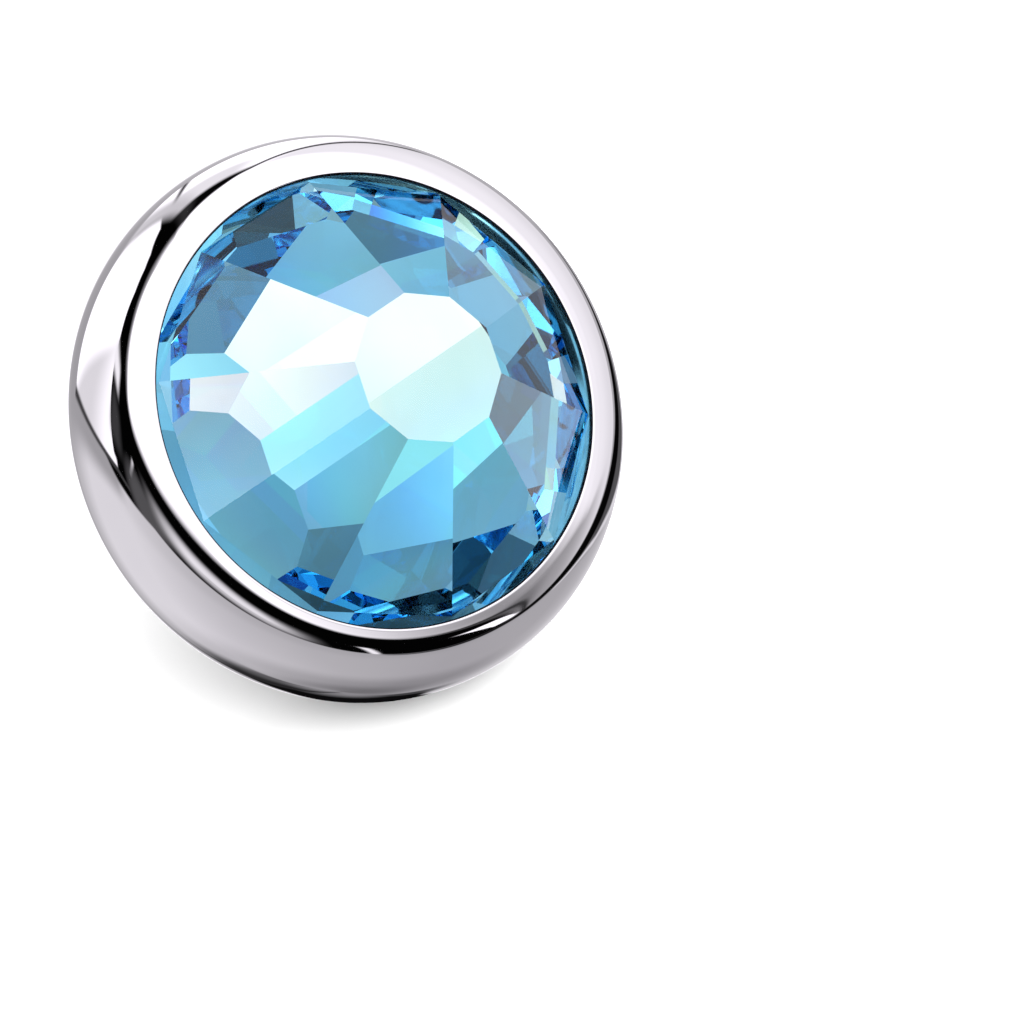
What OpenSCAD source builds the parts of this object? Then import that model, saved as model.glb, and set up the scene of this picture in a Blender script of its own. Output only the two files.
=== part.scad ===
// Screw-in top for a dermal anchor: a low round bezel disc with rounded sides and a
// threaded post behind it, machined in one, and a ten-sided faceted crystal set in the disc.
// Every shape is drawn about the post's axis (lip plane at height 0, stone upwards, post
// downwards) and then leant over, the way the loose top lies on a table: on the disc's rim
// and on the domed end of its post. Millimetres.

/* [Disc] */
// Outside diameter of the disc
disc_d = 5; // [4.8:0.1:5.4]
// Height of the disc from its flat back to the top of the lip
disc_h = 1.48; // [1.42:0.02:1.7]
// Opening in the bezel, which is the width of the stone that shows
opening_d = 3.96; // [3.94:0.01:4]
// Flat ring of lip around the stone, before the side starts to roll over
lip_flat = 0.08; // [0.04:0.01:0.14]
// Depth below the lip at which the disc is widest
shoulder_h = 0.68; // [0.6:0.02:0.76]
// Width of the rounded corner between the side and the flat back
back_round = 0.68; // [0.5:0.02:0.8]

/* [Threaded post] */
// Length of the post from the flat back to its tip
post_len = 1.76; // [1.6:0.02:2.2]
// Outside diameter of the screw thread
thread_d = 1; // [0.9:0.05:1.2]
// Pitch of the screw thread
pitch = 0.25; // [0.2:0.025:0.3]
// Length of the plain neck under the disc
neck_len = 0.3; // [0.2:0.02:0.5]
// Diameter of the plain neck and of the plain end of the post
neck_d = 0.9; // [0.84:0.02:0.96]
// Radius of the post's domed tip
dome_r = 0.5; // [0.46:0.02:0.6]
// Length of the plain end, dome included
tip_len = 0.36; // [0.3:0.02:0.5]

/* [Stone] */
// Facets around the stone
facets = 10; // [8:1:12]
// Table, across its corners
table_d = 1.285; // [1.1:0.005:1.5]
// Height of the table above the lip
crown_h = 1.06; // [0.8:0.02:1.2]
// Lower edge of the big crown facets, across their corners
crown_d = 3.89; // [3.8:0.01:3.9]
// Outside diameter of the girdle, held under the lip
girdle_d = 4.06; // [4.04:0.01:4.08]
// Depth of the stone below the lip
stone_depth = 1.08; // [1:0.01:1.12]
// Width of the flat foiled back, across its corners
back_d = 2.84; // [2.4:0.02:3.2]
// Turn of the stone about its axis
stone_turn = 13; // [0:1:36]

/* [Hidden] */

R = disc_d / 2;               // outside radius of the disc
r_open = opening_d / 2;       // radius of the bezel opening
a_sh = R - r_open - lip_flat; // shoulder: half-axes of its quarter ellipse
b_sh = shoulder_h;
a_bk = back_round;            // back corner: half-axes of its quarter ellipse
b_bk = disc_h - shoulder_h;
z_back = -disc_h;             // flat back
z_tip = -disc_h - post_len;   // end of the post
r_thr = thread_d / 2;
thr_depth = 0.6134 * pitch;   // depth of an external 60 degree thread
r_core = r_thr - thr_depth;
corner_steps = 14;            // straight steps in each rounded corner
seam = 4;                     // angle at which the turned disc starts and ends; no effect on its shape

// Stone heights
z_crown = -0.023;             // lower edge of the crown facets, just under the lip
z_gird_top = -0.354;
z_gird_bot = -0.374;
z_culet = -stone_depth;
gap = 0.02;                   // clearance between the stone and its seat
r_corner = girdle_d / 2 / cos(180 / facets); // corners that the round girdle cuts off
// Height at which the corners of the bevelled back reach the girdle's width
z_knee = z_gird_bot + (z_culet - z_gird_bot) * (r_corner - girdle_d / 2) / (r_corner - back_d / 2);

// How far a quarter-ellipse ring and the tip's dome reach in a direction with radial part p
// and axial part q: the disc lies on the first, the post on the second.
function reach_back(p, q) = (R - a_bk) * p - b_sh * q + sqrt(pow(a_bk * p, 2) + pow(b_bk * q, 2));
function reach_front(p, q) = (R - a_sh) * p - b_sh * q + sqrt(pow(a_sh * p, 2) + pow(b_sh * q, 2));
function reach_tip(q) = (z_tip + dome_r) * q + dome_r;

// Lean at which the rim and the tip touch the table together, found by halving a bracket.
// Below it the tip is the lower of the two, above it the rim is.
function lean_between(lo, hi, n) = n == 0 ? (lo + hi) / 2 :
    let (m = (lo + hi) / 2)
    reach_tip(-cos(m)) > reach_back(sin(m), -cos(m)) ? lean_between(m, hi, n - 1) : lean_between(lo, m, n - 1);
lean = lean_between(20, 70, 24);

// Height of the lip's centre above the table, and the shift that centres the box on Y
lift = reach_back(sin(lean), -cos(lean));
y_far = max(reach_back(cos(lean), -sin(lean)), reach_tip(-sin(lean)));
y_near = max(reach_front(cos(lean), sin(lean)), crown_h * sin(lean) + table_d / 2 * cos(lean));
shift = (y_near - y_far) / 2;

// Points of a quarter ellipse about (cx, cy), from angle a0 to a1
function corner(cx, cy, a, b, a0, a1) =
    [for (i = [0:corner_steps]) let (t = a0 + (a1 - a0) * i / corner_steps) [cx + a * cos(t), cy + b * sin(t)]];

// Leans a sub-part over and sets it on the table
module resting() {
    translate([0, shift, lift]) rotate([lean, 0, 0]) children();
}

// Outer form of the disc: flat lip, rolled shoulder, rolled back corner, flat back
module disc_outline() {
    polygon(concat(
        [[0, z_back]],
        corner(R - a_bk, -shoulder_h, a_bk, b_bk, -90, 0),
        [for (p = corner(R - a_sh, -shoulder_h, a_sh, b_sh, 0, 90)) if (p[1] > -shoulder_h + 0.001) p],
        [[0, 0]]
    ));
}

// Hollow for the stone: the lip's inner edge overhangs the girdle, and a cone follows the
// corners of the bevelled back
module seat_outline() {
    polygon([
        [0, 0.2], [r_open + 0.03, 0.2], [r_open + 0.03, 0], [r_open, -0.03],
        [r_open, -0.06], [r_open + 0.06, -0.13],
        [girdle_d / 2 + gap, -0.15], [girdle_d / 2 + gap, z_knee],
        [back_d / 2 + gap, z_culet - gap], [0, z_culet - gap]
    ]);
}

// Ring of a thread section: the four corners of one slice of the ridge at angle t (degrees)
turns = (post_len - neck_len - tip_len) / pitch;
thr_steps = 24;               // slices in a turn
thr_n = ceil((turns + 0.5) * thr_steps);
crest_w = pitch * 0.10;       // flat along the crest
function ease(x) = x < 0 ? 0 : x > 1 ? 1 : x * x * (3 - 2 * x);
function slice(i) =
    let (t = -360 * i / thr_steps,
         z = z_back - neck_len + pitch * 0.25 - pitch * i / thr_steps,
         e = min(ease(i / (thr_steps * 0.5)), ease((thr_n - i) / (thr_steps * 0.4))),
         rc = r_core - 0.02 + (r_thr - r_core + 0.02) * e,
         ri = r_core - 0.03,
         w = crest_w / 2, v = w + (rc - ri) * tan(30))
    [[ri, t, z + v], [rc, t, z + w], [rc, t, z - w], [ri, t, z - v]];

// Helical ridge of the right-hand screw thread, fading in under the neck and out at the plain end
module thread_ridge() {
    pts = [for (i = [0:thr_n]) for (c = slice(i)) [c[0] * cos(c[1]), c[0] * sin(c[1]), c[2]]];
    sides = [for (i = [0:thr_n - 1]) for (k = [0:3])
        let (a = 4 * i + k, b = 4 * i + (k + 1) % 4, c = a + 4, d = b + 4)
        for (f = [[a, b, d], [a, d, c]]) f];
    ends = [[0, 3, 1], [1, 3, 2], [4 * thr_n, 4 * thr_n + 1, 4 * thr_n + 3], [4 * thr_n + 1, 4 * thr_n + 2, 4 * thr_n + 3]];
    polyhedron(points = pts, faces = concat(sides, ends), convexity = 6);
}

// Post: plain neck, threaded core, plain end with a domed tip
module post() {
    translate([0, 0, z_back - neck_len]) cylinder(h = neck_len + 0.1, d = neck_d, $fn = 96);
    translate([0, 0, z_tip + 0.2]) cylinder(h = post_len - 0.2, r = r_core, $fn = 96);
    intersection() {
        translate([0, 0, z_tip + dome_r]) sphere(r = dome_r, $fn = 96);
        translate([0, 0, z_tip - 0.1]) cylinder(h = tip_len + 0.1, d = neck_d, $fn = 96);
    }
    thread_ridge();
}

// Disc, bezel and post, one piece of metal
module bezel_setting() color("silver") resting() {
    rotate([0, 0, seam]) difference() {
        rotate_extrude($fn = 128) disc_outline();
        rotate_extrude($fn = 128) seat_outline();
    }
    post();
}

// One tier of facets between two many-sided rings, given across their corners
module tier(z0, d0, z1, d1) {
    translate([0, 0, z0]) cylinder(h = z1 - z0, d1 = d0, d2 = d1, $fn = facets);
}

// Stone: table, crown facets, steep lower facets, round girdle, bevelled and flat foiled back
module crystal() color("skyblue") resting() rotate([0, 0, stone_turn]) intersection() {
    union() {
        tier(z_crown, crown_d, crown_h, table_d);
        tier(z_gird_top, 2 * r_corner, z_crown, crown_d);
        translate([0, 0, z_gird_bot]) cylinder(h = z_gird_top - z_gird_bot, r = r_corner + 0.1, $fn = 96);
        rotate([0, 0, 180 / facets]) tier(z_culet, back_d, z_gird_bot, 2 * r_corner);
    }
    translate([0, 0, z_culet - 1]) cylinder(h = crown_h + stone_depth + 2, d = girdle_d, $fn = 96);
}

bezel_setting();
crystal();
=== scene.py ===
"""Looks of the dermal anchor top: a polished bezel disc with a threaded post, and a faceted aqua stone.

Both visible pieces are built here as fine meshes from the same dimensions as the construction
(millimetres about the post's axis, lip plane at height 0), then leant over and set on the table.
"""
import math

import bmesh
import bpy
from mathutils import Matrix, Vector


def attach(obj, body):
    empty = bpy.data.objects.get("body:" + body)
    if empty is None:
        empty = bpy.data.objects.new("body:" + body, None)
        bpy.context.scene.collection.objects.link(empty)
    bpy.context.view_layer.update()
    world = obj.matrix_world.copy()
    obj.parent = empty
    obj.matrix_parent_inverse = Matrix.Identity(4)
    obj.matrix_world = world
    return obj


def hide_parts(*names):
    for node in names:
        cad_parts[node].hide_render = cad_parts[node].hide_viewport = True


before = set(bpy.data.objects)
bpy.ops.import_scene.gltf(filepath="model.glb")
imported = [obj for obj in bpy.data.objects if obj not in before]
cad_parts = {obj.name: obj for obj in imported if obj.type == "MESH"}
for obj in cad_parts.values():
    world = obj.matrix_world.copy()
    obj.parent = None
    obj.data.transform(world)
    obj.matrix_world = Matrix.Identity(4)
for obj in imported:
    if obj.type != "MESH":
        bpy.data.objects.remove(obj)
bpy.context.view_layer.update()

# ---------------------------------------------------------------- dimensions, mm
R = 2.5                 # disc
DISC_H = 1.48
R_OPEN = 1.98
R_EDGE = 1.968          # edge of the lip as it is seen, with its burr turned in over the stone
LIP_FLAT = 0.08
SHOULDER_H = 0.68
BACK_ROUND = 0.68
POST_LEN = 1.76
R_THR = 0.5
PITCH = 0.25
NECK_LEN = 0.3
R_NECK = 0.45
DOME_R = 0.5
TIP_LEN = 0.36
FACETS = 10
R_TABLE = 0.6425        # corner radii of the stone's tiers
R_CROWN = 1.945
CROWN_H = 1.06
R_GIRDLE = 2.03
DEPTH = 1.08
R_BACK = 1.42
TURN = 13.0
Z_CROWN, Z_GIRD_TOP, Z_GIRD_BOT = -0.023, -0.354, -0.374
GAP = 0.02

A_SH, B_SH = R - R_OPEN - LIP_FLAT, SHOULDER_H
A_BK, B_BK = BACK_ROUND, DISC_H - SHOULDER_H
Z_TIP = -DISC_H - POST_LEN
R_CORE = R_THR - 0.6134 * PITCH
R_CORNER = R_GIRDLE / math.cos(math.pi / FACETS)
Z_KNEE = Z_GIRD_BOT + (-DEPTH - Z_GIRD_BOT) * (R_CORNER - R_GIRDLE) / (R_CORNER - R_BACK)


def reach_back(p, q):
    return (R - A_BK) * p - B_SH * q + math.hypot(A_BK * p, B_BK * q)


def reach_front(p, q):
    return (R - A_SH) * p - B_SH * q + math.hypot(A_SH * p, B_SH * q)


def reach_tip(q):
    return (Z_TIP + DOME_R) * q + DOME_R


lo, hi = math.radians(20), math.radians(70)
for _ in range(40):
    mid = (lo + hi) / 2
    if reach_tip(-math.cos(mid)) > reach_back(math.sin(mid), -math.cos(mid)):
        lo = mid
    else:
        hi = mid
LEAN = (lo + hi) / 2
LIFT = reach_back(math.sin(LEAN), -math.cos(LEAN))
Y_FAR = max(reach_back(math.cos(LEAN), -math.sin(LEAN)), reach_tip(-math.sin(LEAN)))
Y_NEAR = max(reach_front(math.cos(LEAN), math.sin(LEAN)), CROWN_H * math.sin(LEAN) + R_TABLE * math.cos(LEAN))
SHIFT = (Y_NEAR - Y_FAR) / 2
REST = Matrix.Scale(0.001, 4) @ Matrix.Translation((0, SHIFT, LIFT)) @ Matrix.Rotation(LEAN, 4, "X")


# ---------------------------------------------------------------- node helper
class Nodes:
    """Builds a node tree from short calls; a value may be a number, a tuple or a socket."""

    def __init__(self, tree):
        self.tree = tree
        tree.nodes.clear()

    def add(self, kind, **props):
        n = self.tree.nodes.new(kind)
        for k, v in props.items():
            setattr(n, k, v)
        return n

    def put(self, socket, value):
        if isinstance(value, bpy.types.NodeSocket):
            self.tree.links.new(value, socket)
        else:
            socket.default_value = value

    def math(self, op, a, b=None, c=None, clamp=False):
        n = self.add("ShaderNodeMath", operation=op, use_clamp=clamp)
        for i, v in enumerate((a, b, c)):
            if v is not None:
                self.put(n.inputs[i], v)
        return n.outputs[0]

    def vmath(self, op, a, b=None):
        n = self.add("ShaderNodeVectorMath", operation=op)
        self.put(n.inputs[0], a)
        if b is not None:
            self.put(n.inputs[1], b)
        return n.outputs["Value"] if op in ("DOT_PRODUCT", "LENGTH") else n.outputs[0]

    def ramp(self, v, a, b, lo=0.0, hi=1.0, kind="SMOOTHSTEP"):
        n = self.add("ShaderNodeMapRange", interpolation_type=kind)
        for i, x in enumerate((v, a, b, lo, hi)):
            self.put(n.inputs[i], x)
        return n.outputs[0]

    def mix(self, f, a, b):
        n = self.add("ShaderNodeMix", data_type="FLOAT")
        self.put(n.inputs[0], f)
        self.put(n.inputs[2], a)
        self.put(n.inputs[3], b)
        return n.outputs[0]

    def mixc(self, f, a, b):
        n = self.add("ShaderNodeMix", data_type="RGBA")
        self.put(n.inputs[0], f)
        self.put(n.inputs[6], a)
        self.put(n.inputs[7], b)
        return n.outputs[2]

    def curve(self, v, points):
        """Straight lines through given points, both axes 0 to 1."""
        n = self.add("ShaderNodeFloatCurve")
        self.put(n.inputs["Value"], v)
        c = n.mapping.curves[0]
        while len(c.points) > 2:
            c.points.remove(c.points[1])
        c.points[0].location, c.points[1].location = points[0], points[-1]
        for p in points[1:-1]:
            c.points.new(*p)
        for p in c.points:
            p.handle_type = "VECTOR"
        n.mapping.update()
        return n.outputs[0]


# ---------------------------------------------------------------- studio
# Round lamps as (azimuth, elevation, radius, softness, strength), degrees; a later one covers an earlier one.
# A strength of three numbers is red, green and blue.
# Seen through the stone:
STONE_LAMPS = (
    # wide light overhead, falling off to the sides
    (30, 62, 19, 10, 0.42), (60, 38, 17, 8, 0.62), (80, 80, 11.5, 5, 0.52), (-8, 73, 11, 5, 0.68), (61, 53, 7, 3, 0.48),
    (62, 45, 6, 3, 0.64), (10, 19, 7.5, 3, 0.70), (26, 7, 8.5, 4, 0.49), (-12.5, 15, 5, 1.6, 0.30), (-50, 62, 9, 4, 0.50),
    (-21.5, 55, 5.5, 3, 0.25), (-56, 43, 6, 3, 0.10), (-32, 35, 6, 3, 0.65), (-30, 14, 6, 3, 0.65), (-19, 33, 4, 2, 0.20),
    (-23.5, 46.5, 4.5, 1.4, 0.10), (-7, 31, 5, 2, 0.95),
    # the big lamp, brightest in its middle
    (12, 61, 7.5, 3, 1.4), (28.5, 54, 3.5, 1.6, 1.55), (35.5, 45.5, 4, 2, 1.34), (13.5, 33, 5, 2, (1.8, 1.0, 0.98)), (46, 29, 5, 2, 1.33),
    (39.5, 58.5, 3.7, 2, 0.92), (30.5, 67.5, 4.6, 2.7, 1.0), (9.7, 52, 7, 2, (3.5, 1.9, 1.28)), (34, 22, 5, 2, (3.3, 1.35, 1.05)), (24, 27, 4.5, 2.5, 3.75),
    (11.5, 42.5, 5.6, 2.7, 4.0), (25.5, 39.5, 6.7, 3, 4.0),
)
# Small lamps and gaps that the steep facets and the silvered back catch:
SPARK_LAMPS = (
    (-43, -21, 17, 7, (4.6, 3.4, 2.6)),
    (-48, 68, 3, 1, 2.6), (-49, 36, 4, 2, 0.87), (-37, 19, 4, 2, 0.89), (34, -42, 7, 3, 0.14), (10, -39, 6.5, 2, 0.09),
    (39, -24, 5.7, 2, 0.70), (41, -16, 3, 1, 0.2), (2, -49, 5, 2.5, 3.4), (129, 45, 26, 6, 0.11), (-156, 47, 6, 2.6, 0.11),
    (162.5, 51.5, 5.4, 2.6, 0.70), (170, 12, 9, 4, 0.65), (-179.5, 40, 8, 3, 0.39), (-147.5, 32.5, 5.3, 2.6, 2.3),
    (-148, 53, 5, 2, 0.95), (54, -12, 7, 3, 4.0), (74, -58, 8, 3, 2.4), (-100, -16, 13, 6, 3.2), (115, -9, 10, 4, 2.9),
    (-20, 3, 5, 2, 2.4), (-66, 64, 3, 2, 3.0), (-69, 54, 3.7, 1.8, 1.6), (-94, 0, 6, 3, 4.4), (-66, -26.5, 6, 3, 3.4),
    (-85, -35, 7, 3, 3.6), (60, -5, 5, 1.8, 0.9),
)
# Mirrored in the stone's own facets:
FACET_LAMPS = (
    (5, -24, 47, 10, 0.02), (-45, -8, 20, 10, 0.06), (82, -24, 15, 6, 1.9), (106, -13, 11, 5, 0.6), (120, 3, 11, 5, 0.9),
    (136, 24, 14, 6, 0.2), (-84, 17, 29, 10, 3.4), (-131, 54, 13, 6, 1.4), (39, 45, 10, 5, 3.0), (147, -16, 11, 5, 3.0),
    (125, -39, 10, 4, 2.6), (165, 8, 9, 4, 1.3),
)
FRINGE = 0.9    # degrees that red and blue are nudged


class Studio(Nodes):
    """World light by direction: az 0 is towards -Y and + towards +X, el up, degrees."""

    def start(self):
        d = self.add("ShaderNodeTexCoord").outputs["Generated"]
        s = self.add("ShaderNodeSeparateXYZ")
        self.put(s.inputs[0], d)
        self.dir = d
        self.az = self.math("DEGREES", self.math("ARCTAN2", s.outputs[0], self.math("MULTIPLY", s.outputs[1], -1.0)))
        self.el = self.math("DEGREES", self.math("ARCSINE", s.outputs[2]))
        self.az1 = self.math("MULTIPLY_ADD", self.az, 1 / 360, 0.5)
        # the same turned half way round, for shapes that cross az 180
        self.azb = self.math("WRAP", self.math("ADD", self.az, 180.0), 180.0, -180.0)
        self.azb1 = self.math("MULTIPLY_ADD", self.azb, 1 / 360, 0.5)

    def card(self, lower, upper, soft=2.0, back=False):
        """Mask of the area between two lines of (az, el) points; back counts az from +Y."""
        az1 = self.azb1 if back else self.az1

        def edge(pts):
            pts = [((a + 180) / 360, (e + 90) / 180) for a, e in pts]
            if pts[0][0] > 0:
                pts.insert(0, (0.0, pts[0][1]))
            if pts[-1][0] < 1:
                pts.append((1.0, pts[-1][1]))
            return self.math("MULTIPLY_ADD", self.curve(az1, pts), 180.0, -90.0)

        above = self.ramp(self.math("SUBTRACT", self.el, edge(lower)), -soft, soft)
        below = self.ramp(self.math("SUBTRACT", edge(upper), self.el), -soft, soft)
        a = [p[0] for p in lower + upper]
        az = self.azb if back else self.az
        m = self.math("MULTIPLY", above, below)
        if min(a) > -180:
            m = self.math("MULTIPLY", m, self.ramp(az, min(a) - soft, min(a) + soft))
        if max(a) < 180:
            m = self.math("MULTIPLY", m, self.ramp(az, max(a) + soft, max(a) - soft))
        return m

    def spot(self, az, el, r_in, r_out):
        a, e = math.radians(az), math.radians(el)
        d = self.vmath("DOT_PRODUCT", self.dir, (math.sin(a) * math.cos(e), -math.cos(a) * math.cos(e), math.sin(e)))
        return self.ramp(d, math.cos(math.radians(r_out)), math.cos(math.radians(r_in)))

    def lamp(self, d, under, az, el, radius, soft, strength):
        """Round lamp over what is under it, in a direction d."""
        a, e = math.radians(az), math.radians(el)
        dot = self.vmath("DOT_PRODUCT", d, (math.sin(a) * math.cos(e), -math.cos(a) * math.cos(e), math.sin(e)))
        inner, outer = math.cos(math.radians(max(radius - soft, 0.1))), math.cos(math.radians(radius + soft))
        return self.mix(self.ramp(dot, outer, inner), under, strength)

    def bar(self, az, el, half_u, half_v, turn, soft_u, soft_v):
        """Soft rectangle about a direction, its long side turned from the level by turn degrees."""
        a, e = math.radians(az), math.radians(el)
        c = Vector((math.sin(a) * math.cos(e), -math.cos(a) * math.cos(e), math.sin(e)))
        right = Vector((math.cos(a), math.sin(a), 0))
        up = c.cross(-right)
        if up.z < 0:
            up.negate()
        t = math.radians(turn)
        u, v = right * math.cos(t) + up * math.sin(t), up * math.cos(t) - right * math.sin(t)
        du = self.math("ABSOLUTE", self.vmath("DOT_PRODUCT", self.dir, tuple(u)))
        dv = self.math("ABSOLUTE", self.vmath("DOT_PRODUCT", self.dir, tuple(v)))
        front = self.math("GREATER_THAN", self.vmath("DOT_PRODUCT", self.dir, tuple(c)), 0.0)
        sn = lambda x: math.sin(math.radians(x))
        m = self.math("MULTIPLY", self.ramp(du, sn(half_u + soft_u), sn(half_u - soft_u)), self.ramp(dv, sn(half_v + soft_v), sn(half_v - soft_v)))
        return self.math("MULTIPLY", m, front)


def studio():
    world = bpy.data.worlds.new("studio")
    bpy.context.scene.world = world
    world.use_nodes = True
    s = Studio(world.node_tree)
    s.start()

    # --- what the polished metal reflects (1.25 and over shows as white)
    v = 1.6
    v = s.mix(s.card([(36, -4), (142, -4)], [(36, 44), (60, 50), (142, 56)], 5.0), v, s.ramp(s.el, 5.0, 42.0, 0.93, 1.08))
    v = s.mix(s.card([(32, -3), (76, -3)], [(32, 46), (37, 42), (44, 28), (58, 13), (76, 0)], 3.0), v, s.ramp(s.az, 34.0, 62.0, 0.36, 0.92))
    # dark room between the lights, its upper edge fading out
    v = s.mix(s.card([(-180, 60), (-70, 52)], [(-180, 82), (-120, 82), (-100, 75), (-70, 60)], 5.0), v, 0.30)
    v = s.mix(s.card([(-180, -16), (33, -16)],
                     [(-180, 75), (-150, 76), (-120, 73), (-100, 67.5), (-90, 63), (-75, 57), (-60, 52), (-30, 49), (0, 47), (20, 45), (30, 41), (34, 38)], 4.2), v, 0.001)
    v = s.mix(s.card([(146, 50), (180, 46)], [(146, 52), (155, 63), (165, 68), (180, 74)], 4.0), v, 0.002)
    # left window, lilac on its right side
    pane = [(-180, 18), (-170, 40), (-155, 55), (-145, 59), (-132, 58), (-118, 48), (-111, 34), (-106, 20), (-102, 10)]
    win = s.card([(-180, 4), (-160, -19), (-100, 9)], pane, 1.2)
    win = s.math("MULTIPLY", win, s.ramp(s.az, -178.5, -174.0))
    shade = s.ramp(s.math("MULTIPLY_ADD", s.el, -0.62, s.az), -151.0, -143.0)
    shade = s.math("MULTIPLY", shade, s.ramp(s.az, -108.0, -136.0, 0.25, 1.0))
    v = s.mix(win, v, s.mix(shade, 1.5, 0.86))
    v = s.mix(s.bar(-108, 44, 8, 4, 14, 3, 3), v, 1.1)
    v = s.mix(s.card([(-107, 18), (-92, 20)], [(-107, 38), (-92, 36)], 5.0), v, 0.05)
    v = s.mix(s.bar(-79, 27, 7.5, 0.8, 58, 1.5, 0.8), v, 0.8)
    v = s.mix(s.spot(-74, 15, 6, 18), v, 0.10)
    # soft light around the camera
    v = s.mix(s.bar(-40, 21, 20, 8, -10, 7, 7), v, 0.45)
    v = s.mix(s.bar(-31, 18, 19, 7, -14, 9, 8), v, 1.0)
    v = s.mix(s.bar(-28, 12, 14, 1.0, -14, 6, 1.5), v, 0.6)
    v = s.mix(s.bar(4.5, 7.5, 8, 1.0, 78, 1.5, 0.8), v, 1.1)
    # narrow window, its frame, and the gap on the right
    v = s.mix(s.card([(25, 23), (28, 6), (33, 2)], [(25, 24), (29, 23), (33, 3)], 1.2), v, 1.5)
    v = s.mix(s.bar(33.5, 18, 22, 0.7, 94, 2, 0.6), v, 0.04)
    v = s.mix(s.bar(139.5, 26, 31, 1.6, 79, 3, 1.2), v, 0.04)
    v = s.mix(s.card([(155, 30), (180, 14)], [(155, 52), (180, 48)], 6.0), v, s.math("MULTIPLY", v, 0.62))
    v = s.mix(s.card([(170, -8), (174, 12), (180, 32)], [(170, -7), (173, 4), (180, 26)], 2.0), v, 0.5)
    v = s.mix(s.bar(174, 14, 20, 0.8, 66, 3, 0.8), v, 0.05)
    # table below the horizon: pale lilac grey, lighter on the left and darker near its middle
    low = s.curve(s.az1, [(0.0, 0.50), (0.055, 0.62), (0.11, 0.84), (0.22, 0.84), (0.333, 0.68), (0.444, 0.54), (0.555, 0.47), (0.667, 0.47), (0.75, 0.56), (0.833, 0.72), (0.9, 0.72), (1.0, 0.45)])
    low = s.math("MULTIPLY", low, s.ramp(s.el, -50.0, -72.0, 1.0, 0.68))
    low = s.math("MULTIPLY", low, s.ramp(s.el, -70.0, -84.0, 1.0, 0.62))
    low = s.math("MULTIPLY", low, s.ramp(s.el, -16.0, -2.0, 1.0, 0.92))
    low = s.mix(s.card([(-180, -34), (-168, -32), (-140, -20), (-100, -4)], [(-180, 0), (-100, 10)], 5.0), low, 0.42)
    low = s.mix(s.spot(152, -33, 8, 24), low, 1.4)
    low = s.mix(s.spot(132, -20, 4, 14), low, 1.0)
    low = s.mix(s.card([(75, -30), (128, -30)], [(75, 2), (140, 2)], 6.0), low, 0.5)
    low = s.mix(s.card([(56, -18), (75, -29), (95, -35), (114, -37)], [(56, -16), (75, -20), (95, -20), (114, -15)], 3.0), low, 0.10)
    low = s.mix(s.card([(46, -12.5), (60, -20.5), (75, -29.5), (95, -36), (128, -41)], [(46, -10.5), (60, -18), (75, -27), (95, -33.5), (128, -38.5)], 1.2), low, 0.85)
    low = s.mix(s.card([(-180, -82), (-122, -84)], [(-180, -60), (-160, -63), (-122, -74)], 6.0), low, s.ramp(s.az, -178.0, -140.0, 0.015, 0.12))
    low = s.mix(s.card([(112, -80), (180, -80)], [(112, -70), (125, -64), (180, -60)], 5.0), low, 0.06)
    low = s.mix(s.card([(128, -74), (180, -74)], [(128, -66), (138, -59), (143, -51), (146.5, -43), (149.5, -43), (153, -51), (159, -58), (168, -61), (180, -64)], 1.5), low, 0.004)
    edge = s.math("MULTIPLY_ADD", s.curve(s.az1, [(0.0, 0.5), (0.17, 0.5), (0.22, 0.508), (0.255, 0.522), (0.30, 0.545), (0.35, 0.535), (0.42, 0.52), (0.5, 0.507), (0.56, 0.5), (1.0, 0.5)]), 180.0, -90.0)
    v = s.mix(s.ramp(s.math("SUBTRACT", s.el, edge), 1.2, -1.2), v, low)
    # what reaches below the horizon: foot of the left window and of the dark room
    foot = s.math("MULTIPLY", s.card([(-180, 4), (-160, -19), (-100, 9)], [(-180, 6), (-100, 12)], 1.2), s.ramp(s.az, -178.5, -174.0))
    v = s.mix(foot, v, s.mix(shade, 1.5, 0.86))
    v = s.mix(s.card([(-161, -21.5), (-100, 6.5), (-88, 9)], [(-161, -19.5), (-100, 8.5), (-88, 11)], 0.8), v, 0.06)
    v = s.mix(s.card([(4, -1), (30, -5), (45, -10), (60, -17.5), (75, -22), (90, -22), (110, -18), (126, -15)],
                     [(4, 0), (30, 1), (45, 0), (60, -2), (90, -7), (110, -10), (126, -13)], 1.8), v, 0.002)
    # both sides meet behind the part in one upright strip: table, pale wall, dark gap, ceiling
    strip = s.curve(s.math("MULTIPLY_ADD", s.el, 1 / 180, 0.5),
                    [(0.0, 0.012), (0.155, 0.02), (0.222, 0.29), (0.483, 0.27), (0.511, 0.47), (0.744, 0.44), (0.783, 0.02), (0.894, 0.02), (0.944, 0.9), (1.0, 1.0)])
    v = s.mix(s.ramp(s.math("ABSOLUTE", s.az), 171.5, 179.5), v, s.math("MULTIPLY", strip, 1.6))
    s_metal = s.add("ShaderNodeBackground")
    s_metal.inputs[0].default_value = (1.0, 0.975, 1.022, 1.0)
    s.put(s_metal.inputs[1], v)

    # --- what is seen through the stone: the same lamps three times, nudged a little apart for red and
    # blue, which gives the facets' edges their coloured fringes; the bright ones are warm
    def through(d, channel, most):
        el = s.math("DEGREES", s.math("ARCSINE", s.vmath("DOT_PRODUCT", d, (0.0, 0.0, 1.0))))
        e = s.mix(s.ramp(el, -12.0, 4.0), 1.25, 0.85)
        for az, up, radius, soft, strength in STONE_LAMPS:
            e = s.lamp(d, e, az, up, radius, soft, strength[channel] if isinstance(strength, tuple) else min(strength, most))
        for az, up, radius, soft, strength in SPARK_LAMPS:
            e = s.lamp(d, e, az, up, radius, soft, strength[channel] if isinstance(strength, tuple) else strength)
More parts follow.
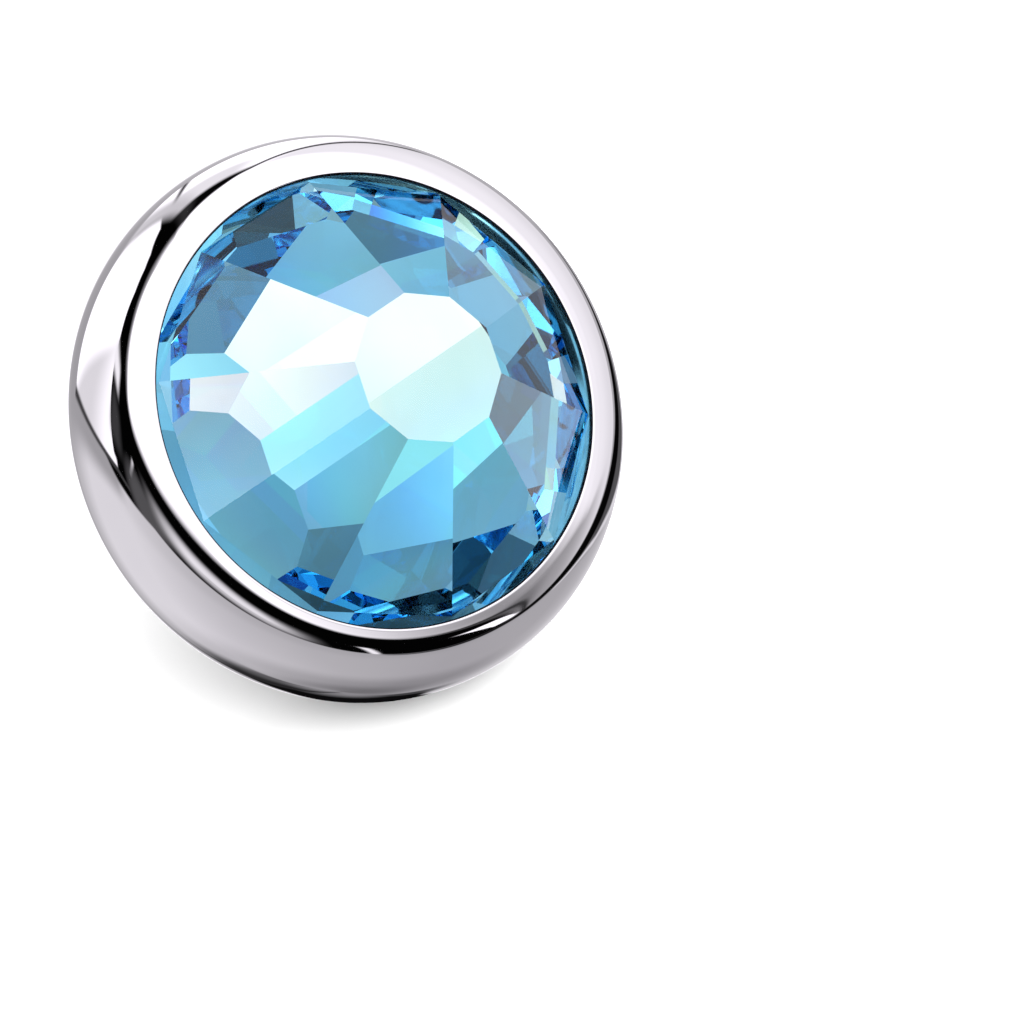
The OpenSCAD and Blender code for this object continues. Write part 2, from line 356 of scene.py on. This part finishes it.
        # uneven, as a room is
        t = s.add("ShaderNodeTexNoise")
        s.put(t.inputs["Vector"], s.vmath("MULTIPLY", d, (9.0, 9.0, 5.0)))
        t.inputs["Scale"].default_value = 1.0
        t.inputs["Detail"].default_value = 1.5
        t.inputs["Distortion"].default_value = 0.6
        e = s.math("MULTIPLY", e, s.ramp(t.outputs["Fac"], 0.3, 0.7, 0.80, 1.22))
        # faint straight-edged patches, as panels and frames between the lamps
        c = s.add("ShaderNodeTexVoronoi")
        s.put(c.inputs["Vector"], s.vmath("MULTIPLY", d, (13.0, 13.0, 11.0)))
        c.inputs["Scale"].default_value = 1.0
        x = s.add("ShaderNodeSeparateColor")
        s.put(x.inputs[0], c.outputs["Color"])
        return s.math("MULTIPLY", e, s.ramp(x.outputs[0], 0.0, 1.0, 0.86, 1.13, "LINEAR"))

    bands = s.add("ShaderNodeCombineColor")
    for i, (nudge, most) in enumerate(((-1.0, 9.0), (0.0, 1.7), (1.0, 1.2))):
        turn = s.add("ShaderNodeVectorRotate", rotation_type="AXIS_ANGLE")
        s.put(turn.inputs["Vector"], s.dir)
        turn.inputs["Axis"].default_value = (0.62, 0.62, 0.48)
        turn.inputs["Angle"].default_value = math.radians(FRINGE * nudge)
        s.put(bands.inputs[i], through(turn.outputs[0], i, most))
    s_stone = s.add("ShaderNodeBackground")
    s.put(s_stone.inputs[0], bands.outputs[0])
    s_stone.inputs[1].default_value = 1.0

    # --- what the stone's own facets reflect: bright to the right and left, dark in front and low
    g = s.mix(s.ramp(s.el, -12.0, 6.0), 0.6, 0.65)
    for lamp in FACET_LAMPS:
        g = s.lamp(s.dir, g, *lamp)
    s_face = s.add("ShaderNodeBackground")
    s_face.inputs[0].default_value = (1.0, 0.96, 1.0, 1.0)
    s.put(s_face.inputs[1], g)

    # --- soft even light on everything that isn't polished, and a white backdrop
    s_soft = s.add("ShaderNodeBackground")
    s_soft.inputs[0].default_value = (1.0, 1.0, 1.0, 1.0)
    s.put(s_soft.inputs[1], s.mix(s.spot(60, 35, 25, 70), 2.1, 5.2))
    s_back = s.add("ShaderNodeBackground")
    s_back.inputs[0].default_value = (1.0, 1.0, 1.0, 1.0)
    s_back.inputs[1].default_value = 1.0

    lp = s.add("ShaderNodeLightPath")

    def pick(factor, no, yes):
        n = s.add("ShaderNodeMixShader")
        s.put(n.inputs[0], factor)
        s.put(n.inputs[1], no)
        s.put(n.inputs[2], yes)
        return n.outputs[0]

    x = pick(lp.outputs["Is Singular Ray"], s_metal.outputs[0], s_face.outputs[0])
    x = pick(lp.outputs["Is Glossy Ray"], s_soft.outputs[0], x)
    x = pick(lp.outputs["Is Transmission Ray"], x, s_stone.outputs[0])
    x = pick(lp.outputs["Is Camera Ray"], x, s_back.outputs[0])
    s.put(s.add("ShaderNodeOutputWorld").inputs[0], x)
    world.cycles.sampling_method = "NONE"


studio()


# ---------------------------------------------------------------- materials
def metal_material():
    m = bpy.data.materials.new("polished_titanium")
    m.use_nodes = True
    n = Nodes(m.node_tree)
    pos = n.add("ShaderNodeTexCoord").outputs["Object"]

    def noise(scale, detail=2.0, rough=0.5, stretch=None):
        p = pos if stretch is None else n.vmath("MULTIPLY", pos, stretch)
        t = n.add("ShaderNodeTexNoise")
        n.put(t.inputs["Vector"], p)
        n.put(t.inputs["Scale"], scale)
        n.put(t.inputs["Detail"], detail)
        n.put(t.inputs["Roughness"], rough)
        return t.outputs["Fac"]

    broad = noise(700.0)
    fine = noise(9000.0, 3.0, 0.6)
    tint = n.mixc(n.ramp(broad, 0.35, 0.65), (0.79, 0.775, 0.80, 1.0), (0.82, 0.805, 0.825, 1.0))
    rough = n.math("ADD", n.ramp(fine, 0.3, 0.75, 0.018, 0.035), n.ramp(broad, 0.3, 0.7, 0.0, 0.012))
    bsdf = n.add("ShaderNodeBsdfPrincipled")
    n.put(bsdf.inputs["Base Color"], tint)
    bsdf.inputs["Metallic"].default_value = 1.0
    n.put(bsdf.inputs["Roughness"], rough)
    n.put(n.add("ShaderNodeOutputMaterial").inputs[0], bsdf.outputs[0])
    return m


def wall_shade_material():
    """Cut metal of the wall round the stone, coloured near-black as painted shade for the narrow gap beside the stone.
    """
    m = bpy.data.materials.new("wall_painted_shade")
    m.use_nodes = True
    n = Nodes(m.node_tree)
    t = n.add("ShaderNodeTexNoise")
    n.put(t.inputs["Vector"], n.add("ShaderNodeTexCoord").outputs["Object"])
    n.put(t.inputs["Scale"], 6000.0)
    n.put(t.inputs["Detail"], 3.0)
    bsdf = n.add("ShaderNodeBsdfPrincipled")
    # painted shade: near-black base colour standing in for the shadow on the wall in the gap
    n.put(bsdf.inputs["Base Color"], n.mixc(n.ramp(t.outputs["Fac"], 0.3, 0.7), (0.015, 0.016, 0.02, 1.0), (0.035, 0.036, 0.042, 1.0)))
    bsdf.inputs["Metallic"].default_value = 1.0
    n.put(bsdf.inputs["Roughness"], n.ramp(t.outputs["Fac"], 0.3, 0.7, 0.35, 0.5))
    n.put(n.add("ShaderNodeOutputMaterial").inputs[0], bsdf.outputs[0])
    return m


def seat_material():
    """Metal beside the stone: bright, with a few dark patches, and near-black painted shade on its far side, deep below
    the lip, where it is seen past the stone's edge.
    """
    m = bpy.data.materials.new("seat_metal")
    m.use_nodes = True
    n = Nodes(m.node_tree)
    pos = n.add("ShaderNodeTexCoord").outputs["Object"]
    t = n.add("ShaderNodeTexNoise")
    n.put(t.inputs["Vector"], pos)
    n.put(t.inputs["Scale"], 4000.0)
    n.put(t.inputs["Detail"], 3.0)
    bsdf = n.add("ShaderNodeBsdfPrincipled")
    bright = n.mixc(n.ramp(t.outputs["Fac"], 0.3, 0.7), (0.88, 0.88, 0.89, 1.0), (0.95, 0.95, 0.96, 1.0))
    p = n.add("ShaderNodeTexNoise")
    n.put(p.inputs["Vector"], pos)
    n.put(p.inputs["Scale"], 2600.0)
    n.put(p.inputs["Detail"], 1.0)
    # painted shade: near-black on the far side (towards +X, +Y and up), more than about 0.23 mm below the lip plane
    out = n.vmath("SUBTRACT", pos, (0.0, SHIFT * 0.001, LIFT * 0.001))
    far = n.ramp(n.vmath("DOT_PRODUCT", out, (0.766, 0.467, 0.442)), 0.0011, 0.0014)
    band = n.ramp(n.vmath("DOT_PRODUCT", out, (0.0, -math.sin(LEAN), math.cos(LEAN))), -0.00022, -0.00025)
    lit = n.math("MULTIPLY", n.ramp(p.outputs["Fac"], 0.38, 0.41), n.math("MULTIPLY_ADD", n.math("MULTIPLY", far, band), -1.0, 1.0))
    n.put(bsdf.inputs["Base Color"], n.mixc(lit, (0.02, 0.022, 0.026, 1.0), bright))
    bsdf.inputs["Metallic"].default_value = 1.0
    n.put(bsdf.inputs["Roughness"], n.ramp(t.outputs["Fac"], 0.3, 0.7, 0.10, 0.18))
    n.put(n.add("ShaderNodeOutputMaterial").inputs[0], bsdf.outputs[0])
    return m


def glass_material():
    m = bpy.data.materials.new("aqua_crystal_glass")
    m.use_nodes = True
    n = Nodes(m.node_tree)
    pos = n.add("ShaderNodeTexCoord").outputs["Object"]
    t = n.add("ShaderNodeTexNoise")
    n.put(t.inputs["Vector"], pos)
    n.put(t.inputs["Scale"], 900.0)
    n.put(t.inputs["Detail"], 2.0)
    bsdf = n.add("ShaderNodeBsdfPrincipled")
    n.put(bsdf.inputs["Base Color"], n.mixc(n.ramp(t.outputs["Fac"], 0.35, 0.65), (0.985, 0.995, 1.0, 1.0), (1.0, 1.0, 1.0, 1.0)))
    bsdf.inputs["Transmission Weight"].default_value = 1.0
    bsdf.inputs["IOR"].default_value = 1.4526
    bsdf.inputs["Roughness"].default_value = 0.0
    vol = n.add("ShaderNodeVolumeAbsorption")
    vol.inputs["Color"].default_value = (0.0475, 0.745, 0.9875, 1.0)
    vol.inputs["Density"].default_value = 200.0
    out = n.add("ShaderNodeOutputMaterial")
    n.put(out.inputs["Surface"], bsdf.outputs[0])
    n.put(out.inputs["Volume"], vol.outputs[0])
    return m


def foil_material(name, lo, hi):
    """Silvering behind the stone, lo to hi in colour."""
    m = bpy.data.materials.new(name)
    m.use_nodes = True
    n = Nodes(m.node_tree)
    pos = n.add("ShaderNodeTexCoord").outputs["Object"]
    t = n.add("ShaderNodeTexNoise")
    n.put(t.inputs["Vector"], pos)
    n.put(t.inputs["Scale"], 1500.0)
    n.put(t.inputs["Detail"], 3.0)
    bsdf = n.add("ShaderNodeBsdfPrincipled")
    n.put(bsdf.inputs["Base Color"], n.mixc(n.ramp(t.outputs["Fac"], 0.35, 0.65), lo, hi))
    bsdf.inputs["Metallic"].default_value = 1.0
    bsdf.inputs["Roughness"].default_value = 0.0
    n.put(n.add("ShaderNodeOutputMaterial").inputs[0], bsdf.outputs[0])
    return m


def floor_material():
    m = bpy.data.materials.new("pale_table")
    m.use_nodes = True
    n = Nodes(m.node_tree)
    bsdf = n.add("ShaderNodeBsdfPrincipled")
    bsdf.inputs["Base Color"].default_value = (0.80, 0.80, 0.80, 1.0)
    bsdf.inputs["Roughness"].default_value = 0.22
    bsdf.inputs["Specular IOR Level"].default_value = 0.35
    n.put(n.add("ShaderNodeOutputMaterial").inputs[0], bsdf.outputs[0])
    return m


# ---------------------------------------------------------------- setting
def lerp(a, b, t):
    return a + (b - a) * t


def smooth(x):
    x = min(1.0, max(0.0, x))
    return x * x * (3 - 2 * x)


def arc(cx, cy, a, b, a0, a1, n, last=True):
    out = []
    for i in range(n + (1 if last else 0)):
        t = math.radians(lerp(a0, a1, i / n))
        out.append((cx + a * math.cos(t), cy + b * math.sin(t)))
    return out


def profile():
    """Half section of the disc, from the middle of the seat out over the lip and round to the neck."""
    p = [(0.35, -DEPTH - GAP), (0.9, -DEPTH - GAP), (R_BACK + GAP, -DEPTH - GAP), (R_GIRDLE + GAP, Z_KNEE)]
    p += [(R_GIRDLE + GAP, -0.165), (R_GIRDLE + GAP - 0.008, -0.15)]
    p += [(R_OPEN + 0.06, -0.13), (R_OPEN, -0.06), (R_EDGE, -0.04)]
    # inner edge of the lip: a small rolled chamfer up to the flat
    p += arc(R_EDGE + 0.022, -0.024, 0.022, 0.024, 180, 90, 10)
    p += [(lerp(R_EDGE + 0.022, R - A_SH, t / 4), 0.0) for t in range(1, 4)]
    p += arc(R - A_SH, -SHOULDER_H, A_SH, B_SH, 90, 0, 44)
    p += arc(R - A_BK, -SHOULDER_H, A_BK, B_BK, 0, -90, 44)[1:]
    # turned ripples on the polished back, dying out towards the corner and the post
    r0, r1 = R - A_BK, R_NECK + 0.05
    n = 90
    for i in range(1, n):
        r = lerp(r0, r1, i / n)
        w = smooth((r - 1.0) / 0.3) * smooth((2.0 - r) / 0.15)
        p.append((r, -DISC_H - 0.0 + 0.0009 * w * (1 + math.sin(2 * math.pi * r / 0.165))))
    # fillet to the neck
    p += arc(R_NECK + 0.05, -DISC_H - 0.05, 0.05, 0.05, 90, 180, 6)
    return p


SEGS = 240
ROWS = 24
SEAT_RINGS, WALL_RINGS = 7, 17


def thread_radius(ang_turns, z):
    """Surface of the post between neck and plain end, at an angle in turns and a height."""
    zn = -DISC_H - NECK_LEN
    ze = Z_TIP + TIP_LEN
    z0 = zn + PITCH * 0.25
    turns = (POST_LEN - NECK_LEN - TIP_LEN) / PITCH
    # nearest crest: z = z0 - PITCH * t, with t counted along the helix at this angle
    k = (z0 - z) / PITCH - ang_turns
    m = round(k)
    t = m + ang_turns
    d = abs(k - m) * PITCH
    total = turns + 0.5
    e = min(smooth(t / 0.5), smooth((total - t) / 0.4)) if 0 <= t <= total else 0.0
    crest = 0.0125
    slope = 1 / math.tan(math.radians(30))
    depth = R_THR - R_CORE
    x = d - crest
    # 60 degree flanks with slightly rolled crest and root
    soft = 0.006
    x = 0.5 * (x + math.sqrt(x * x + soft * soft))
    ridge = depth - x * slope
    soft = 0.012
    ridge = 0.5 * (ridge + math.sqrt(ridge * ridge + soft * soft))
    r = R_CORE + ridge * e
    # neck and plain end come down to the core on a short bevel
    neck = R_NECK - max(0.0, (zn + 0.02) - z) * 1.2
    end = R_NECK - max(0.0, z - (ze - 0.02)) * 1.2
    for b in (neck, end):
        if b > R_CORE - 0.05:
            s = 0.01
            r = 0.5 * (r + b + math.sqrt((r - b) ** 2 + s * s)) - 0.25 * s
    return min(r, R_THR)


def build_setting():
    verts, faces = [], []

    def ring(r, z):
        base = len(verts)
        for i in range(SEGS):
            a = -2 * math.pi * i / SEGS
            verts.append((r * math.cos(a), r * math.sin(a), z))
        return base

    def bridge(a, b):
        for i in range(SEGS):
            j = (i + 1) % SEGS
            faces.append((a + i, b + i, b + j, a + j))

    # seat floor
    verts.append((0, 0, -DEPTH - GAP))
    pts = profile()
    rings = [ring(r, z) for r, z in pts]
    for i in range(SEGS):
        faces.append((0, rings[0] + i, rings[0] + (i + 1) % SEGS))
    for a, b in zip(rings, rings[1:]):
        bridge(a, b)
    # the seat is silvered, with painted shade on its far side; the wall and most of the rolled edge over the stone are
    # near-black painted shade
    seat, wall = SEGS * (1 + SEAT_RINGS), SEGS * (1 + WALL_RINGS)

    # plain neck down to where the helical rows start
    z_top = -DISC_H - NECK_LEN + 0.30 * PITCH
    prev = rings[-1]
    for z in (-DISC_H - 0.12, z_top + 0.02):
        nxt = ring(R_NECK, z)
        bridge(prev, nxt)
        prev = nxt
    neck_ring = prev

    # helical rows: vertex (i, j) at angle -360 i / SEGS, one pitch lower after a full turn
    z_bot = Z_TIP + TIP_LEN - 0.06
    rows = int((z_top - z_bot) / PITCH * ROWS) - ROWS
    grid = {}
    for j in range(rows + 1):
        for i in range(SEGS):
            z = z_top - PITCH * (j / ROWS + i / SEGS)
            a = -2 * math.pi * i / SEGS
            r = thread_radius(i / SEGS, z)
            grid[i, j] = len(verts)
            verts.append((r * math.cos(a), r * math.sin(a), z))
    for j in range(rows + 1):
        grid[SEGS, j] = grid.get((0, j + ROWS))
    for j in range(rows):
        for i in range(SEGS):
            q = (grid[i, j], grid[i, j + 1], grid[i + 1, j + 1], grid[i + 1, j])
            if None not in q:
                faces.append(q)
    # close the start onto the neck ring
    for i in range(SEGS - 1):
        faces.append((neck_ring + i, grid[i, 0], grid[i + 1, 0], neck_ring + i + 1))
    i = SEGS - 1
    faces.append(tuple([neck_ring, neck_ring + i, grid[i, 0]] + [grid[0, j] for j in range(ROWS, -1, -1)]))
    # the last free row and a flat ring under it
    last = rows
    end = ring(R_NECK, z_top - PITCH * (last / ROWS + 1) - 0.02)
    tail_j = last - ROWS
    # free edge: columns 0..SEGS at row `last` for i >= 0, entering from grid[0, last]
    for i in range(SEGS - 1):
        faces.append((grid[i, last], end + i, end + i + 1, grid[i + 1, last]))
    i = SEGS - 1
    # step column: the rows of column 0 below `last` don't exist, so the last column closes up the side
    # quads between column SEGS-1 and column 0 exist for j up to last - ROWS; the rest of column SEGS-1 is free
    free = [grid[SEGS - 1, j] for j in range(tail_j, last + 1)]
    faces.append(tuple(free + [end + i, end, grid[0, last]]))
    prev = end
    # plain end with its dome
    zc = Z_TIP + DOME_R
    z_edge = zc - math.sqrt(DOME_R ** 2 - R_NECK ** 2)
    z_end = verts[end][2]
    f = 0.03
    if z_end > z_edge + f + 0.005:
        nxt = ring(R_NECK, z_edge + f)
        bridge(prev, nxt)
        prev = nxt
    n = 30
    a0 = math.asin(R_NECK / DOME_R)
    for i in range(0, n):
        a = a0 * (1 - i / n)
        r, z = DOME_R * math.sin(a), zc - DOME_R * math.cos(a)
        if i == 0:
            r -= 0.0015
        nxt = ring(r, z)
        bridge(prev, nxt)
        prev = nxt
    verts.append((0, 0, Z_TIP))
    tip = len(verts) - 1
    for i in range(SEGS):
        faces.append((prev + i, tip, prev + (i + 1) % SEGS))

    me = bpy.data.meshes.new("bezel_setting_polished")
    me.from_pydata(verts, [], faces)
    me.validate()
    bm = bmesh.new()
    bm.from_mesh(me)
    bmesh.ops.recalc_face_normals(bm, faces=bm.faces)
    open_edges = sum(1 for e in bm.edges if len(e.link_faces) != 2)
    print("setting: faces", len(bm.faces), "open edges", open_edges, "volume mm3", bm.calc_volume())
    bm.transform(REST)
    bm.to_mesh(me)
    bm.free()
    me.materials.append(metal_material())
    me.materials.append(wall_shade_material())
    me.materials.append(seat_material())
    for i, p in enumerate(me.polygons):
        p.use_smooth = True
        p.material_index = 2 if i < seat else 1 if i < wall else 0
    ob = bpy.data.objects.new("setting_polished", me)
    bpy.context.scene.collection.objects.link(ob)
    return ob


# ---------------------------------------------------------------- stone
def stone_planes():
    """(outward normal, distance) of every flat of the stone, in mm about the post's axis."""
    k = math.cos(math.pi / FACETS)
    planes = [(Vector((0, 0, 1)), CROWN_H), (Vector((0, 0, -1)), DEPTH)]

    def tier(z0, r0, z1, r1, turn):
        """Facets between two many-sided rings at heights z0 < z1, given by their corners' radii."""
        dz, dr = z1 - z0, (r1 - r0) * k
        for i in range(FACETS):
            a = math.radians(TURN + turn + 360 * (i + 0.5) / FACETS)
            n = Vector((math.cos(a) * dz, math.sin(a) * dz, -dr)).normalized()
            planes.append((n, n.dot(Vector((math.cos(a) * r0 * k, math.sin(a) * r0 * k, z0)))))

    tier(Z_CROWN, R_CROWN, CROWN_H, R_TABLE, 0)
    tier(Z_GIRD_TOP, R_CORNER, Z_CROWN, R_CROWN, 0)
    tier(-DEPTH, R_BACK, Z_GIRD_BOT, R_CORNER, 180 / FACETS)
    sides = 180
    for i in range(sides):
        a = 2 * math.pi * (i + 0.5) / sides
        planes.append((Vector((math.cos(a), math.sin(a), 0)), R_GIRDLE * math.cos(math.pi / sides)))
    return planes


def clipped(poly, n, d):
    """The part of a polygon that lies inside a plane."""
    out = []
    for i, p in enumerate(poly):
        q = poly[(i + 1) % len(poly)]
        hp, hq = n.dot(p) - d, n.dot(q) - d
        if hp <= 0:
            out.append(p)
        if (hp < 0 < hq) or (hq < 0 < hp):
            out.append(p.lerp(q, hp / (hp - hq)))
    return out


def build_stone():
    planes = stone_planes()
    verts, faces, kinds = [], [], []
    for i, (n, d) in enumerate(planes):
        u = n.orthogonal().normalized()
        v = n.cross(u)
        c = n * d
        poly = [c + u * 20, c + v * 20, c - u * 20, c - v * 20]
        for j, (m, e) in enumerate(planes):
            if j != i and poly:
                poly = clipped(poly, m, e)
        ids = []
        for p in poly:
            key = None
            for k, w in enumerate(verts):
                if (w - p).length < 3e-5:
                    key = k
                    break
            if key is None:
                key = len(verts)
                verts.append(p)
            if not ids or ids[-1] != key:
                ids.append(key)
        if len(ids) > 1 and ids[0] == ids[-1]:
            ids.pop()
        if len(ids) > 2:
            faces.append(ids)
            kinds.append(1 if n.z < -0.99 else 2 if n.z < -0.1 else 0)
    me = bpy.data.meshes.new("crystal_faceted")
    me.materials.append(glass_material())
    me.materials.append(foil_material("tinted_silver_back", (0.42, 0.74, 0.90, 1.0), (0.44, 0.76, 0.92, 1.0)))
    me.materials.append(foil_material("silvered_bevel", (0.90, 0.905, 0.91, 1.0), (0.93, 0.93, 0.93, 1.0)))
    me.from_pydata(verts, [], faces)
    for p, kind in zip(me.polygons, kinds):
        p.material_index = kind
    bm = bmesh.new()
    bm.from_mesh(me)
    bmesh.ops.recalc_face_normals(bm, faces=bm.faces)
    bm.normal_update()
    for f in bm.faces:
        f.smooth = abs(f.normal.z) < 0.01
    for e in bm.edges:
        e.smooth = len(e.link_faces) == 2 and e.calc_face_angle(0) < math.radians(4)
    open_edges = sum(1 for e in bm.edges if len(e.link_faces) != 2)
    print("stone: faces", len(bm.faces), "open edges", open_edges, "volume mm3", bm.calc_volume())
    bm.transform(REST)
    bm.to_mesh(me)
    bm.free()
    ob = bpy.data.objects.new("crystal_faceted", me)
    bpy.context.scene.collection.objects.link(ob)
    return ob


# ---------------------------------------------------------------- floor
def build_floor():
    me = bpy.data.meshes.new("table_top")
    s = 1.2
    me.from_pydata([(-s, -s, 0), (s, -s, 0), (s, s, 0), (-s, s, 0)], [], [(0, 1, 2, 3)])
    ob = bpy.data.objects.new("table_top", me)
    bpy.context.scene.collection.objects.link(ob)
    me.materials.append(floor_material())
    ob.visible_glossy = False
    ob.visible_transmission = False
    return ob


# ---------------------------------------------------------------- camera
def build_camera():
    """The photograph's view: from 31.9 degrees towards -X and 36.8 above the table, the object left of and
    above the middle of the frame, so the camera is turned a little past it."""
    def outward(az, el):
        az, el = math.radians(az), math.radians(el)
        return Vector((math.sin(az) * math.cos(el), -math.cos(az) * math.cos(el), math.sin(el)))

    place = (Vector((0, SHIFT, LIFT)) + outward(-31.910, 36.775) * 23.499) * 0.001
    back = outward(-35.380, 39.084)
    roll = math.radians(2.139)
    level = Vector((0, 0, 1)).cross(back).normalized()
    upright = back.cross(level)
    right = level * math.cos(roll) + upright * math.sin(roll)
    up = back.cross(right)
    cam = bpy.data.cameras.new("camera")
    cam.sensor_width = 36.0
    cam.lens = 97.466
    cam.clip_start = 0.0005
    cam.clip_end = 10.0
    ob = bpy.data.objects.new("camera", cam)
    bpy.context.scene.collection.objects.link(ob)
    ob.matrix_world = Matrix.Translation(place) @ Matrix((right, up, back)).transposed().to_4x4()
    bpy.context.scene.camera = ob


setting = build_setting()
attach(setting, "root")
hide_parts("bezel_setting")
stone = build_stone()
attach(stone, "root")
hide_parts("crystal")
build_floor()
build_camera()

sc = bpy.context.scene
sc.view_settings.view_transform = "Standard"
sc.view_settings.look = "None"
sc.view_settings.exposure = 0.0
sc.view_settings.gamma = 1.0
sc.cycles.max_bounces = 32
sc.cycles.transmission_bounces = 32
sc.cycles.glossy_bounces = 24
sc.cycles.diffuse_bounces = 4
sc.cycles.caustics_reflective = False
sc.cycles.caustics_refractive = False
sc.cycles.blur_glossy = 0.0
sc.cycles.sample_clamp_indirect = 0.0
sc.cycles.use_denoising = True
